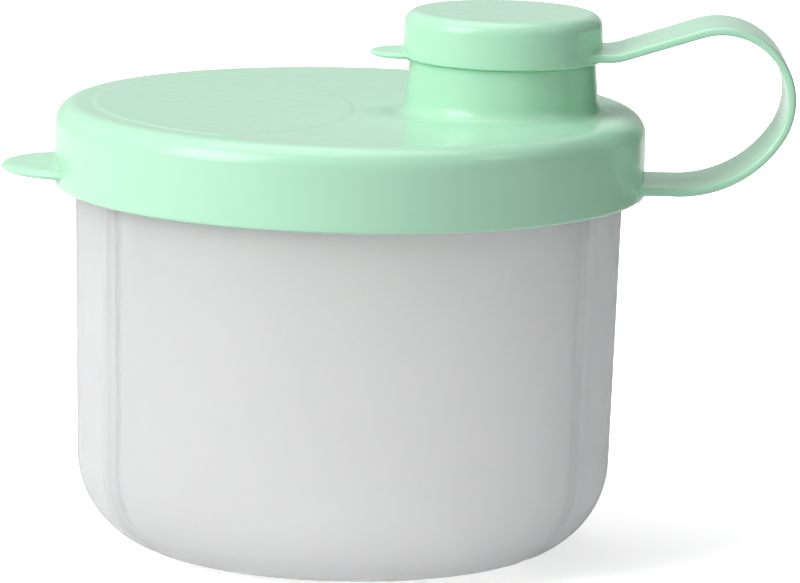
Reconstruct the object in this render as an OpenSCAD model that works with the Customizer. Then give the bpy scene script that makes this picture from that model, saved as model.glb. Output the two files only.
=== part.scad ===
/* [Tub] */
// Outer radius of the tub wall where its slope would meet the base plane
tub_r = 49.5; // [44:0.5:56]
// Height of the tub from its base to the top of its rim
tub_h = 79.8; // [70:0.1:95]
// Outward lean of the tub wall in degrees
tub_draft = 1.3; // [0.5:0.1:2.5]
// Thickness of the tub wall
tub_wall = 1.8; // [1.4:0.1:2.4]
// Thickness of the tub floor
tub_floor = 1.8; // [1.2:0.1:3]
// Radius of the rounding between the base and the wall
base_round = 17.6; // [10:0.1:24]
// How far the snap bead stands out of the rim
bead_out = 1; // [0.8:0.1:2]
// Height of the snap bead
bead_h = 2.6; // [1.6:0.1:4]

/* [Compartments] */
// Number of compartments, each with a groove at its border
compartments = 3; // [2:1:4]
// Width of an outer groove at the surface of the tub
groove_w = 5; // [3:0.5:8]
// Depth of an outer groove
groove_depth = 0.8; // [0.4:0.1:1]
// Width of each of the two ribs that guide one wing of the divider
rail_w = 2; // [1.2:0.1:3]
// How far a guide rib stands into the tub
rail_depth = 2.6; // [1.5:0.1:4]
// Thickness of a divider wing
wing_t = 1.6; // [1:0.1:2.4]
// Gap between the divider and what it slides in or stands on
divider_gap = 0.3; // [0.2:0.05:0.6]
// Radius of the finger post in the middle of the divider
post_r = 4.5; // [3:0.5:7]

/* [Lid] */
// Thickness of the lid skirt
lid_wall = 1.7; // [1.3:0.1:2.4]
// Thickness of the lid top
lid_top = 1.8; // [1.4:0.1:2.6]
// Height of the lid from its lower edge to its top
lid_h = 15.3; // [14:0.1:24]
// Radius of the rounding along the outer edge of the lid top
lid_round = 5; // [3:0.5:7]
// Radius of the rounding inside the corner of the lid
lid_inner_round = 2.2; // [1.2:0.1:2.6]
// Gap between the tub bead and the inside of the skirt
skirt_gap = 1; // [0.6:0.1:2]
// Gap between the tub bead and the catch bead of the lid
catch_gap = 0.3; // [0.2:0.05:0.6]
// Height of the catch bead inside the skirt
catch_h = 2; // [1.2:0.1:3]
// Thickness of the lip that hangs inside the tub rim
lip_wall = 1.3; // [1:0.1:2]
// Depth of that lip below the lid top
lip_h = 5.2; // [3:0.1:8]
// Gap between the lip and the tub wall
lip_gap = 0.4; // [0.3:0.05:0.8]
// Thickness of the sealing ring under the lid
seal_t = 1.5; // [1:0.1:2.4]
// Width of the sealing ring
seal_w = 2; // [1.4:0.1:2.4]
// Gap above and below the sealing ring
seal_gap = 0.1; // [0.05:0.05:0.3]
// Height of the faint leaf-shaped panel on the lid top
panel_rise = 0.2; // [0.1:0.1:0.6]
// Width left between that panel and the edge rounding
panel_margin = 1.5; // [0.5:0.5:5]
// Width left between that panel and the foot of the spout
panel_spacing = 6; // [2:0.5:15]
// Radius of the end of that panel towards the spout
panel_curve = 51; // [35:1:70]

/* [Pull tab] */
// How far the tab stands out of the skirt
tab_reach = 10; // [6:0.5:14]
// Width of the half-moon tab
tab_w = 28.5; // [20:0.5:36]
// Thickness of the tab
tab_t = 1.8; // [1.2:0.1:3]
// Height of the underside of the tab above the lower edge of the skirt
tab_lift = 1.7; // [0.5:0.1:6]

/* [Spout] */
// Radius of the neck where it meets the lid top
neck_r = 18.2; // [16:0.1:20]
// Inward lean of the neck in degrees
neck_draft = 5.5; // [2:0.1:9]
// Height of the neck above the lid top
neck_h = 9.5; // [5:0.5:14]
// Radius of the fillet around the foot of the neck
neck_fillet = 2.8; // [1.5:0.1:4]
// Width left between that fillet and the edge rounding
spout_margin = 1; // [0.5:0.1:4]
// Width of the shoulder between the neck and the collar inside the cap
shoulder = 2.05; // [1.8:0.05:4]
// Height of the collar above the neck
collar_h = 5.5; // [5:0.5:8]
// Thickness of the collar wall
collar_wall = 1.5; // [1.1:0.1:2.2]

/* [Cap] */
// How far the lower edge of the cap stands out over the neck
cap_overhang = 1.4; // [0.8:0.1:2]
// Width of the lower edge of the cap that bears on the shoulder
cap_bearing = 0.6; // [0.4:0.05:0.8]
// Inward lean of the cap wall in degrees
cap_draft = 2.5; // [0.5:0.1:5]
// Thickness of the cap top
cap_top = 1.4; // [1:0.1:2.2]
// Radius of the rounding along the top edge of the cap
cap_round = 2.5; // [1.5:0.1:4]
// Gap between the cap top and the collar
cap_headroom = 2; // [0.4:0.1:3]
// Gap between the lower edge of the cap and the neck
cap_seat = 0.1; // [0.05:0.05:0.3]
// Depth of the plug below the cap top
plug_h = 4; // [2.5:0.1:5]
// Thickness of the plug wall
plug_wall = 1.2; // [0.9:0.1:1.8]
// Gap between the plug and the collar at the mouth
plug_gap = 0.8; // [0.3:0.05:1.2]
// Inward lean of the plug towards its free end in degrees
plug_draft = 20; // [10:1:25]
// How far the cap tab stands out of the cap
cap_tab_reach = 6; // [4:0.5:9]
// Width of the cap tab
cap_tab_w = 13; // [9:0.5:18]
// Thickness of the cap tab
cap_tab_t = 1.2; // [1:0.1:2]

/* [Strap] */
// Width of the strap
strap_w = 20; // [14:0.5:28]
// Thickness of the strap
strap_t = 1.8; // [1.2:0.1:2.4]
// How far the middle of the strap loop stands out of the lid
strap_reach = 26.5; // [24:0.5:36]
// Height of the strap root above the lower edge of the skirt
root_lift = 1.8; // [1.5:0.1:6]
// Height of the strap end above the lower edge of the cap
end_lift = 1.4; // [1.2:0.1:3]
// Radius of the first, wide bend of the strap
bend_r = 22; // [16:0.5:26]
// Turn of that bend in degrees
bend_turn = 57.5; // [45:0.5:65]
// Slope of the strap as it comes down to the cap in degrees
dip = 18; // [14:1:26]
// Radius of the bend that levels the strap at the cap
dip_r = 10; // [4:0.5:12]
// Length of level strap outside the cap
end_run = 0.7; // [0.2:0.1:3]
// How far the strap flares out where it leaves the lid
root_flare = 2; // [1:0.5:3]
// Width of the slit at each flexing line of the strap
flex_gap = 0.7; // [0.6:0.05:0.9]

/* [Hidden] */
$fn = 96;
join = 0.5;
arc_step = 3;

milky = [0.86, 0.86, 0.86, 0.9];
mint = [0.69, 0.88, 0.76];
clear_white = [0.93, 0.93, 0.92];

// Heights of the lid and the spout
lid_under = tub_h + seal_t + 2 * seal_gap;
lid_z = lid_under + lid_top;
skirt_z = lid_z - lid_h;
lip_z = lid_under - lip_h;
neck_z = lid_z + neck_h;
collar_z = neck_z + collar_h;
cap_z = neck_z + cap_seat;
cap_under = collar_z + cap_headroom;
cap_h = cap_under + cap_top - cap_z;

// Radii that follow the tub rim
rim_r = tub_r + tub_h * tan(tub_draft);
rim_in = rim_r - tub_wall / cos(tub_draft);
bead_r = rim_r + bead_out;
catch_r = bead_r + catch_gap;
skirt_in = bead_r + skirt_gap;
lid_r = skirt_in + lid_wall;
lip_r = rim_in - lip_gap;
lip_in = lip_r - lip_wall;
seal_in = rim_in;

// Places on the lid top
neck_top_r = neck_r - neck_h * tan(neck_draft);
fillet_r = neck_r - neck_fillet * tan(neck_draft);
collar_r = neck_top_r - shoulder;
bore_r = collar_r - collar_wall;
cap_r = neck_top_r + cap_overhang;
cap_in = neck_top_r - cap_bearing;
spout_x = lid_r - lid_round - spout_margin - neck_fillet - neck_r;
panel_r = lid_r - lid_round - panel_margin;
panel_right = spout_x - neck_r - neck_fillet - panel_spacing;

// The first groove lies a sixth of a turn to the left of the front
groove_step = 360 / compartments;
groove_start = 210;
groove_angles = [for (i = [0 : compartments - 1]) groove_start + i * groove_step];
slot_w = wing_t + 2 * divider_gap;
rail_z = lip_z - divider_gap;
wing_z = lid_under - divider_gap;
step_r = lip_in - divider_gap;

// The strap leaves the lid level, bends up, loops back over a round arc, runs down
// and levels out at the cap; the loop radius and the straight run close the path
root_x = lid_r;
root_z = skirt_z + root_lift;
end_x = spout_x + cap_r + end_run;
end_z = cap_z + end_lift;
rise = end_z - root_z - bend_r * (1 - cos(bend_turn)) + dip_r * (1 - cos(dip));
reach = strap_reach - dip_r * sin(dip) - end_x + root_x;
turn_rise = cos(bend_turn) + cos(dip);
turn_reach = 1 + sin(dip);
path_det = turn_rise * cos(dip) + turn_reach * sin(dip);
loop_r = (rise * cos(dip) + reach * sin(dip)) / path_det;
root_run = strap_reach - bend_r * sin(bend_turn) - loop_r * (1 - sin(bend_turn));
loop_turn = 180 + dip - bend_turn;
bend_x = root_x + root_run;
bend_z = root_z + bend_r;
loop_x = bend_x + (bend_r - loop_r) * sin(bend_turn);
loop_z = bend_z - (bend_r - loop_r) * cos(bend_turn);

// Headings of the flexing lines, one in the wide bend and the rest spread over the loop
loop_flexes = 4;
flexes = concat([bend_turn / 2],
    [for (i = [0 : loop_flexes - 1]) bend_turn + loop_turn * (i + 0.5) / loop_flexes]);

// Section of the tub, drawn in by a wall and a floor, up to a height
module tub_section(wall, floor_t, top) {
    lean = tub_draft;
    round_r = base_round - wall;
    foot_r = tub_r - wall / cos(lean);
    round_z = floor_t + round_r;
    round_x = foot_r + round_z * tan(lean) - round_r / cos(lean);
    polygon([[0, floor_t], [round_x, floor_t],
        [round_x + round_r * cos(lean), round_z - round_r * sin(lean)],
        [foot_r + top * tan(lean), top], [0, top]]);
    translate([round_x, round_z])
        circle(round_r);
}

// Solid of revolution with a leaning wall and a rounded top edge
module rounded_plug(foot_r, lean, low, high, edge) {
    edge_z = high - edge;
    edge_x = foot_r - (edge_z - low) * tan(lean) - edge / cos(lean);
    rotate_extrude() {
        polygon([[0, low], [foot_r, low],
            [edge_x + edge * cos(lean), edge_z + edge * sin(lean)], [edge_x, high], [0, high]]);
        translate([edge_x, edge_z])
            circle(edge);
    }
}

// Straight ring between two radii
module ring(inner, outer, low, high) {
    translate([0, 0, low])
        difference() {
            cylinder(r = outer, h = high - low);
            translate([0, 0, -join])
                cylinder(r = inner, h = high - low + 2 * join);
        }
}

// Upright slab from the axis outward at one angle, for wings and slots
module wing_slab(angle, width) {
    rotate([0, 0, angle])
        translate([0, -width / 2, -join])
            cube([tub_r * 2, width, tub_h * 2]);
}

// Upright slab that opens one groove up to the catch of the lid
module groove_cut(angle) {
    rotate([0, 0, angle])
        translate([tub_r - base_round, -groove_w / 2, -join])
            cube([tub_r, groove_w, tub_h - bead_h - catch_h]);
}

module tub_outside() {
    difference() {
        rotate_extrude()
            tub_section(0, 0, tub_h);
        for (angle = groove_angles)
            groove_cut(angle);
    }
    rotate_extrude()
        tub_section(groove_depth, groove_depth, tub_h);
    translate([0, 0, tub_h - bead_h])
        cylinder(r = bead_r, h = bead_h);
}

module tub_hollow() {
    difference() {
        rotate_extrude()
            tub_section(tub_wall, tub_floor, tub_h + join);
        difference() {
            for (angle = groove_angles)
                wing_slab(angle, slot_w + 2 * rail_w);
            for (angle = groove_angles)
                wing_slab(angle, slot_w);
            rotate_extrude()
                tub_section(tub_wall + rail_depth, 0, tub_h * 2);
            translate([0, 0, rail_z])
                cylinder(r = tub_r * 2, h = tub_h * 2);
        }
    }
}

module tub() {
    color(milky)
        difference() {
            tub_outside();
            tub_hollow();
        }
}

module divider() {
    color(clear_white)
        difference() {
            union() {
                intersection() {
                    rotate_extrude()
                        tub_section(tub_wall + divider_gap, tub_floor + divider_gap, wing_z);
                    for (angle = groove_angles)
                        wing_slab(angle, wing_t);
                }
                translate([0, 0, tub_floor + divider_gap])
                    cylinder(r = post_r, h = wing_z - tub_floor - divider_gap);
            }
            ring(step_r, tub_r * 2, rail_z, wing_z + join);
        }
}

module lid_seal() {
    color(clear_white)
        ring(seal_in, seal_in + seal_w, tub_h + seal_gap, lid_under - seal_gap);
}

// Neck with its foot fillet, and the collar that the cap covers
module spout_outside() {
    translate([spout_x, 0, 0]) {
        translate([0, 0, lid_z - join])
            cylinder(r = neck_r, h = join);
        translate([0, 0, lid_z])
            cylinder(r1 = neck_r, r2 = neck_top_r, h = neck_h);
        translate([0, 0, neck_z - join])
            cylinder(r = collar_r, h = collar_h + join);
        rotate_extrude()
            translate([0, lid_z])
                difference() {
                    translate([fillet_r - join, -join])
                        square([neck_fillet + join, neck_fillet + join]);
                    translate([fillet_r + neck_fillet, neck_fillet])
                        circle(neck_fillet);
                }
    }
}

// Faint panel between the edge of the lid top and an arc beside the spout
module panel() {
    translate([0, 0, lid_z - join])
        intersection() {
            cylinder(r = panel_r, h = join + panel_rise);
            translate([panel_right - panel_curve, 0, 0])
                cylinder(r = panel_curve, h = join + panel_rise);
        }
}

// Half-moon tab that points to -X from a round wall
module half_moon(wall_r, reach, width, low, thick) {
    translate([0, 0, low])
        linear_extrude(thick)
            difference() {
                union() {
                    translate([width / 2 - wall_r - reach, 0])
                        circle(d = width);
                    translate([width / 2 - wall_r - reach, -width / 2])
                        square([reach, width]);
                }
                circle(wall_r - join);
            }
}

// Place and heading of the strap at a heading of the wide bend or the loop
function strap_at(h) = h < bend_turn
    ? [bend_x + bend_r * sin(h), bend_z - bend_r * cos(h), h]
    : [loop_x + loop_r * sin(h), loop_z - loop_r * cos(h), h];

// Place and heading of the strap in the bend that levels it at the cap
function dip_at(h) = [end_x - dip_r * sin(h), end_z + dip_r + dip_r * cos(h), h];

// Headings from one to another in even steps
function headings(from, to) =
    let (steps = ceil(abs(to - from) / arc_step))
    [for (i = [0 : steps]) from + (to - from) * i / steps];

// Point at a distance to the left of a place on the strap
function beside(place, off) = [place[0] - off * sin(place[2]), place[1] + off * cos(place[2])];

// Half the turn that one slit takes out of the strap at a heading
function slit(h) = flex_gap / 2 / (h < bend_turn ? bend_r : loop_r) * 180 / PI;

// Band of strap through a list of places
module strap_band(path) {
    inside = [for (place = path) beside(place, strap_t / 2)];
    outside = [for (i = [len(path) - 1 : -1 : 0]) beside(path[i], -strap_t / 2)];
    rotate([90, 0, 0])
        linear_extrude(strap_w, center = true)
            polygon(concat(inside, outside));
}

// Rooted end of the strap on the skirt, with its flare
module strap_root() {
    flare_w = strap_w / 2 + root_flare;
    foot_x = sqrt(lid_r * lid_r - flare_w * flare_w);
    strap_band(concat([[foot_x - lid_wall / 2, root_z, 0]],
        [for (h = headings(0, flexes[0] - slit(flexes[0]))) strap_at(h)]));
    translate([0, 0, root_z - strap_t / 2])
        linear_extrude(strap_t)
            polygon([[foot_x - lid_wall / 2, -flare_w], [foot_x, -flare_w],
                [lid_r + root_flare, -strap_w / 2], [lid_r + root_flare, strap_w / 2],
                [foot_x, flare_w], [foot_x - lid_wall / 2, flare_w]]);
}

// Far end of the strap, which runs into the cap wall
module strap_end() {
    last = flexes[loop_flexes];
    strap_band(concat([for (h = headings(last + slit(last), 180 + dip)) strap_at(h)],
        [for (h = headings(180 + dip, 180)) dip_at(h)],
        [[spout_x + cap_r / 2, end_z, 180]]));
}

// Stretch of strap between two flexing lines
module strap_link(i) {
    start = flexes[i - 1] + slit(flexes[i - 1]);
    stop = flexes[i] - slit(flexes[i]);
    color(mint)
        strap_band([for (h = headings(start, stop)) strap_at(h)]);
}

module lid() {
    color(mint) {
        difference() {
            union() {
                rounded_plug(lid_r, 0, skirt_z, lid_z, lid_round);
                panel();
                spout_outside();
                half_moon(lid_r, tab_reach, tab_w, skirt_z + tab_lift, tab_t);
                strap_root();
            }
            rounded_plug(skirt_in, 0, skirt_z - join, lid_under, lid_inner_round);
            translate([spout_x, 0, lid_under - join])
                cylinder(r = bore_r, h = collar_z - lid_under + 2 * join);
        }
        ring(lip_in, lip_r, lip_z, lid_under + join);
        ring(catch_r, skirt_in + join, tub_h - bead_h - catch_gap - catch_h, tub_h - bead_h - catch_gap);
    }
}

module cap_plug() {
    mouth_r = bore_r - plug_gap;
    low = cap_under - plug_h;
    foot_r = mouth_r - (plug_h - cap_headroom) * tan(plug_draft);
    translate([0, 0, low])
        difference() {
            cylinder(r1 = foot_r, r2 = foot_r + plug_h * tan(plug_draft), h = plug_h + join);
            translate([0, 0, -join])
                cylinder(r = foot_r - plug_wall, h = plug_h + join);
        }
}

module cap() {
    color(mint) {
        difference() {
            union() {
                translate([spout_x, 0, 0])
                    rounded_plug(cap_r, cap_draft, cap_z, cap_z + cap_h, cap_round);
                translate([spout_x, 0, 0])
                    half_moon(cap_r, cap_tab_reach, cap_tab_w, cap_z, cap_tab_t);
                strap_end();
            }
            translate([spout_x, 0, cap_z - join])
                cylinder(r = cap_in, h = cap_under - cap_z + join);
        }
        translate([spout_x, 0, 0])
            cap_plug();
    }
}

tub();
divider();
lid_seal();
lid();
strap_link(1);  // strap_link_1
strap_link(2);  // strap_link_2
strap_link(3);  // strap_link_3
strap_link(4);  // strap_link_4
cap();
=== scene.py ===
"""Looks of a round milk powder container: a milky grooved tub with a lift-out divider, and a mint
lid with a pull tab and an off-centre spout, whose cap hangs on a flexible strap."""

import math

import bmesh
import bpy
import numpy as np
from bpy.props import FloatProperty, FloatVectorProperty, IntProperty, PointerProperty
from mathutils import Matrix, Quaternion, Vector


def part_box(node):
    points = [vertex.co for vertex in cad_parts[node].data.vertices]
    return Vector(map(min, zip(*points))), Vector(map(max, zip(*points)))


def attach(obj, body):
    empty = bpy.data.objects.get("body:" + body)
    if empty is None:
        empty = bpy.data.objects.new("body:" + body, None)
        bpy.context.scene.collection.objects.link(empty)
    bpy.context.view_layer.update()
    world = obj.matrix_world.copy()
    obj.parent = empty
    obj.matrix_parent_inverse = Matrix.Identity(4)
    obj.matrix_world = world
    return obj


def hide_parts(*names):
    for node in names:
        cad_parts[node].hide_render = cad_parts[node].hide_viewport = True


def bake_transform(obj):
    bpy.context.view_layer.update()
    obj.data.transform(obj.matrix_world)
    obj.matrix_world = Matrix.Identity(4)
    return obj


bl_info = {
    "name": "Milk powder container",
    "version": (1, 0, 0),
    "blender": (4, 5, 0),
    "location": "3D View > Sidebar > Container",
    "description": "Builds the looks of a round milk powder container over its fixed frame",
    "category": "Object",
}

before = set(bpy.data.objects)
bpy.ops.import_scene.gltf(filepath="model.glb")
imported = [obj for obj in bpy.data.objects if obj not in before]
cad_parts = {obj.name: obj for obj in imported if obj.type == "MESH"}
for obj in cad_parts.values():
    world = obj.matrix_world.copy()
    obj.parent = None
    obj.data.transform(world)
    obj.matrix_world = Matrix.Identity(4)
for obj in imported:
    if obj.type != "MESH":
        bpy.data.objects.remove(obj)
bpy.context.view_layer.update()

MM = 0.001
TAU = 2 * math.pi

# Places that the frame fixes
TUB_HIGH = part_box("tub")[1]
LID_LOW, LID_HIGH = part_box("lid")
CAP_LOW, CAP_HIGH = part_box("cap")
SEAL_LOW, SEAL_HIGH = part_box("lid_seal")
DIVIDER_LOW, DIVIDER_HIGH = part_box("divider")
STRAP_BODIES = ["lid", *(f"strap_link_{i}" for i in range(1, 5)), "cap"]

# Width of the sealing ring's section
SEAL_WIDTH = 2 * MM

# Fineness of the surfaces
GUARD = 0.1 * MM
TINY = 0.001 * MM
WELD_DIGITS = 8
SHARP_EDGE = math.radians(40)
COARSE_STEP = 4 * MM
BAND_STEP = 2 * MM
NECK_STEP = 1.5 * MM
STRAP_STEP = 0.2 * MM
PATH_POINTS = 8001
DENSE_TURNS = 40001
ROUND_TURNS = np.linspace(0, TAU, 240, endpoint=False)
TUB_TURNS = 420
GROOVE_CROWD = 9
GROOVE_SPREAD = 4.5 * MM
LID_LEFT_POINTS = 201
LID_RIGHT_POINTS = 161
LID_SPLIT_POINTS = 61
PANEL_ROWS = 15
TAB_POINTS = 97
HOLLOW_POINTS = 15
EDGE_POINTS = 13
ARC_POINTS = 9
DIVIDER_EDGE_ROWS = 7
STRAP_ROOT_ROWS = 41

# Fillet of a tab: most of the room that it takes, and rows past it in radii of the fillet
FILLET_SHARE = 0.8
PAST_FILLET = [1.3, 2.0, 4.0]

# Heights at which a groove and a guide rib have full depth, over which they run out, and a rib's flank
GROOVE_FOOT = 4 * MM
GROOVE_FADE = 2 * MM
RIB_FOOT = 9 * MM
RIB_FADE = 0.6 * MM
RIB_SOFT = 0.4 * MM

# Slopes of the catch bead, flat strips on the lid and softness of the panel's two tips
CATCH_LEAD = 0.6 * MM
CATCH_BACK = 0.4 * MM
BRIM = 0.6 * MM
LIP_MARGIN = 0.6 * MM
BORE_MARGIN = 1.2 * MM
PANEL_BLEND = 1 * MM

# Small roundings of moulded edges
HAIR_ROUND = 0.2 * MM
FINE_ROUND = 0.3 * MM
MILD_ROUND = 0.4 * MM
SOFT_ROUND = 0.5 * MM
RIM_ROUND = 0.6 * MM
CAP_TAB_UNDER = 0.05 * MM

# How far a piece reaches into the wall that carries it
SINK = 0.02 * MM
TAB_BURY = 0.7 * MM
STRAP_BURY = 0.8 * MM

# Depth of the surface relief, depth to which light enters, and fineness of the clouds
RELIEF = 0.02 * MM
GLOW_DEPTH = 1.5 * MM
CLOUD_DETAIL = 3.0

# Light and stage
LAMP_AIM = (0, 0, 0.05)
LAMPS = [
    # name, place, width and height, power
    ("key", (-0.9, -0.55, 0.65), (0.7, 0.9), 12.7),
    ("top", (-0.1, 0.1, 1.1), (0.9, 0.9), 6.3),
    ("front", (0.3, -1.15, 0.35), (0.6, 0.6), 0.8),
    ("glint", (0.84, -0.33, 0.85), (0.16, 0.16), 0.6),
]
CARD_ENDS = [(0.2, 0.3), (0.45, -0.12)]
CARD_LOW, CARD_HIGH = 0.01, 0.4
FLOOR_HALF = 3.0
GLOW_NEAR, GLOW_FAR = 0.1, 0.45


def measure(label, about, metres):
    """Property for a place or size in metres, mostly from the frame."""
    return FloatProperty(name=label, description=about, default=metres, unit="LENGTH", precision=5)


def length(label, about, millimetres):
    """Property for a size, given in millimetres."""
    return measure(label, about, millimetres * MM)


def angle(label, about, degrees):
    """Property for an angle, given in degrees."""
    return FloatProperty(name=label, description=about, default=math.radians(degrees), subtype="ANGLE")


def factor(label, about, default):
    """Property for a share or strength."""
    return FloatProperty(name=label, description=about, default=default, subtype="FACTOR")


def pixels(label, about, default):
    """Property for a length or place in the image."""
    return FloatProperty(name=label, description=about, default=default, subtype="PIXEL")


def number(label, about, default):
    """Property for a number of like things."""
    return IntProperty(name=label, description=about, default=default, subtype="UNSIGNED")


def colour(label, about, default):
    """Property for a linear colour."""
    return FloatVectorProperty(name=label, description=about, default=default, size=3, min=0, max=1,
                               subtype="COLOR")


class TubSizes(bpy.types.PropertyGroup):
    height: measure("Height", "From the base to the top of the rim", TUB_HIGH.z)
    foot_radius: length("Foot radius", "Where the slope of the wall would meet the base", 49.5)
    lean: angle("Lean", "Outward lean of the wall", 1.3)
    wall: length("Wall", "Thickness of the wall", 1.8)
    floor: length("Floor", "Thickness of the floor", 1.8)
    base_round: length("Base rounding", "Radius between the base and the wall", 17.6)
    bead_radius: measure("Bead radius", "Outer radius of the snap bead", TUB_HIGH.y)
    bead_height: length("Bead height", "Height of the snap bead", 2.6)
    compartments: number("Compartments", "Number of grooves and wings", 3)
    first_groove: angle("First groove", "Direction of the first groove", 210)
    groove_width: length("Groove width", "Width of a groove at half its depth", 4.4)
    groove_depth: length("Groove depth", "Depth of a groove", 0.8)
    groove_flank: length("Groove flank", "Width of a groove's straight flank", 1.1)
    groove_top: length("Groove top", "Height at which a groove runs out under the lid", 73.5)
    slot_width: length("Slot width", "Room between two guide ribs", 2.2)
    rib_width: length("Rib width", "Width of a guide rib", 2)
    rib_depth: length("Rib depth", "How far a guide rib stands into the tub", 2.6)
    rib_top: length("Rib top", "Height at which the guide ribs end", 75.9)


class DividerSizes(bpy.types.PropertyGroup):
    wing: length("Wing", "Thickness of a wing", 1.6)
    gap: length("Gap", "Room between the wings and the tub", 0.3)
    post_radius: length("Post radius", "Radius of the finger post", 4.5)
    post_fillet: length("Post fillet", "Radius between the post and a wing", 1.2)
    edge: length("Edge", "Rounding of the free edges", 0.35)
    step_radius: length("Step radius", "Reach of a wing above the step for the lid", 47.5)
    step_height: length("Step height", "Height of that step", 76)


class LidSizes(bpy.types.PropertyGroup):
    radius: measure("Radius", "Outer radius of the skirt", LID_HIGH.y)
    skirt_low: measure("Skirt", "Height of the lower edge of the skirt", LID_LOW.z)
    top: measure("Top", "Height of the top at its edge", LID_LOW.z + 15.3 * MM)
    thick: length("Thickness", "Thickness of the top", 1.8)
    wall: length("Wall", "Thickness of the skirt", 1.7)
    edge_round: length("Edge rounding", "Radius along the top edge", 4)
    foot_round: length("Foot rounding", "Radius along the lower edge", 0.55)
    inner_round: length("Inner rounding", "Radius inside the corner", 2.2)
    catch_radius: length("Catch radius", "Inner radius of the catch bead", 52.6)
    catch_low: length("Catch", "Height of the lower side of the catch bead", 74.9)
    catch_height: length("Catch height", "Height of the catch bead", 2)
    lip_outer: length("Lip radius", "Outer radius of the lip inside the rim", 49.11)
    lip_wall: length("Lip wall", "Thickness of that lip", 1.3)
    lip_depth: length("Lip depth", "Depth of that lip", 5.2)
    panel_rise: length("Panel rise", "Height of the faint leaf-shaped panel", 0.2)
    panel_margin: length("Panel margin", "Width between the panel and the edge rounding", 2.5)
    panel_end: length("Panel end", "Place of the panel's end towards the spout", 1)
    panel_curve: length("Panel curve", "Radius of that end", 51)
    panel_slope: length("Panel slope", "Width of the soft border of the panel", 1.4)
    dish: length("Dish", "How far the middle of the top sinks", 0.8)
    tab_lift: length("Tab lift", "Height of the pull tab above the skirt's lower edge", 1.7)
    split: length("Split", "Place of the line between the panel and the spout", 3.9)


def tab_fields(reach, width, thick, edge, fillet, corner):
    """Properties that both half-moon tabs have."""
    return {
        "reach": length("Reach", "How far the tab stands out", reach),
        "width": length("Width", "Width of the tab", width),
        "thick": length("Thickness", "Thickness of the tab", thick),
        "edge": length("Edge", "Width over which the tab thins to its edge", edge),
        "fillet": length("Fillet", "Radius where the tab meets the wall", fillet),
        "corner": length("Corner", "Radius at the two ends of the tab", corner),
    }


class PullTab(bpy.types.PropertyGroup):
    __annotations__ = tab_fields(reach=10, width=28.5, thick=1.8, edge=2.2, fillet=0.9, corner=1.6)


class CapTab(bpy.types.PropertyGroup):
    __annotations__ = tab_fields(reach=6, width=13, thick=1.2, edge=1.4, fillet=0.7, corner=1)


class SpoutSizes(bpy.types.PropertyGroup):
    neck_radius: length("Neck radius", "Radius where the neck meets the top", 18.2)
    neck_lean: angle("Neck lean", "Inward lean of the neck", 5.5)
    neck_height: length("Neck height", "Height of the neck above the top", 9.5)
    neck_fillet: length("Neck fillet", "Radius round the foot of the neck", 2.8)
    collar_radius: length("Collar radius", "Outer radius of the collar", 15.23)
    collar_wall: length("Collar wall", "Thickness of the collar", 1.5)
    collar_top: measure("Collar top", "Height of the top of the collar", LID_HIGH.z)


class CapSizes(bpy.types.PropertyGroup):
    radius: measure("Radius", "Outer radius of the lower edge", CAP_HIGH.y)
    low: measure("Lower edge", "Height of the lower edge", CAP_LOW.z)
    high: measure("Top", "Height of the top", CAP_HIGH.z)
    lean: angle("Lean", "Inward lean of the wall", 2.5)
    edge_round: length("Edge rounding", "Radius along the top edge", 2.5)
    foot_round: length("Foot rounding", "Radius along the lower edge", 0.45)
    inner_radius: length("Inner radius", "Inner radius of the wall", 16.68)
    thick: length("Thickness", "Thickness of the top", 1.4)
    plug_radius: length("Plug radius", "Outer radius of the plug at its free end", 12.2)
    plug_lean: angle("Plug lean", "Lean of the plug", 20)
    plug_wall: length("Plug wall", "Thickness of the plug", 1.2)
    plug_depth: length("Plug depth", "Depth of the plug", 4)


class StrapSizes(bpy.types.PropertyGroup):
    width: length("Width", "Width of the strap half way along it", 20)
    taper: factor("Taper", "Share of its width that it loses from the lid to the cap", 0.15)
    thick: length("Thickness", "Thickness of the strap", 1.5)
    edge: length("Edge", "Rounding of the strap's edges", 0.6)
    reach: length("Reach", "How far the loop stands out of the lid", 26.5)
    root_lift: length("Root lift", "Height of the root above the skirt's lower edge", 1.8)
    end_lift: length("End lift", "Height of the end above the cap's lower edge", 1.4)
    bend_radius: length("Bend radius", "Radius of the first, wide bend", 22)
    bend_turn: angle("Bend turn", "Turn of the first bend", 57.5)
    dip: angle("Dip", "Slope of the strap as it comes down to the cap", 18)
    dip_radius: length("Dip radius", "Radius of the bend that levels it at the cap", 10)
    end_run: length("End run", "Level strap outside the cap", 0.7)
    loop_flexes: number("Loop flexes", "Flexing lines in the loop", 4)
    flare: length("Flare", "How far the strap widens at its roots", 2)
    root_fillet: length("Root fillet", "Radius where the strap meets the skirt", 1)
    end_fillet: length("End fillet", "Radius where the strap meets the cap", 0.6)


class Finishes(bpy.types.PropertyGroup):
    mint: colour("Mint", "Colour of the lid, strap and cap", (0.45, 0.77, 0.56))
    mint_deep: colour("Deep mint", "Colour of the faint flow clouds in the mint", (0.43, 0.75, 0.54))
    mint_gloss: factor("Mint roughness", "Mean roughness of the mint moulding", 0.22)
    milky: colour("Milky", "Colour of the tub", (0.96, 0.96, 0.965))
    milky_deep: colour("Deep milky", "Colour of the faint clouds in the tub", (0.93, 0.93, 0.935))
    milky_gloss: factor("Tub roughness", "Mean roughness of the tub", 0.55)
    white: colour("White", "Colour of the divider", (0.84, 0.84, 0.825))
    seal: colour("Seal", "Colour of the sealing ring", (0.82, 0.82, 0.81))


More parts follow.
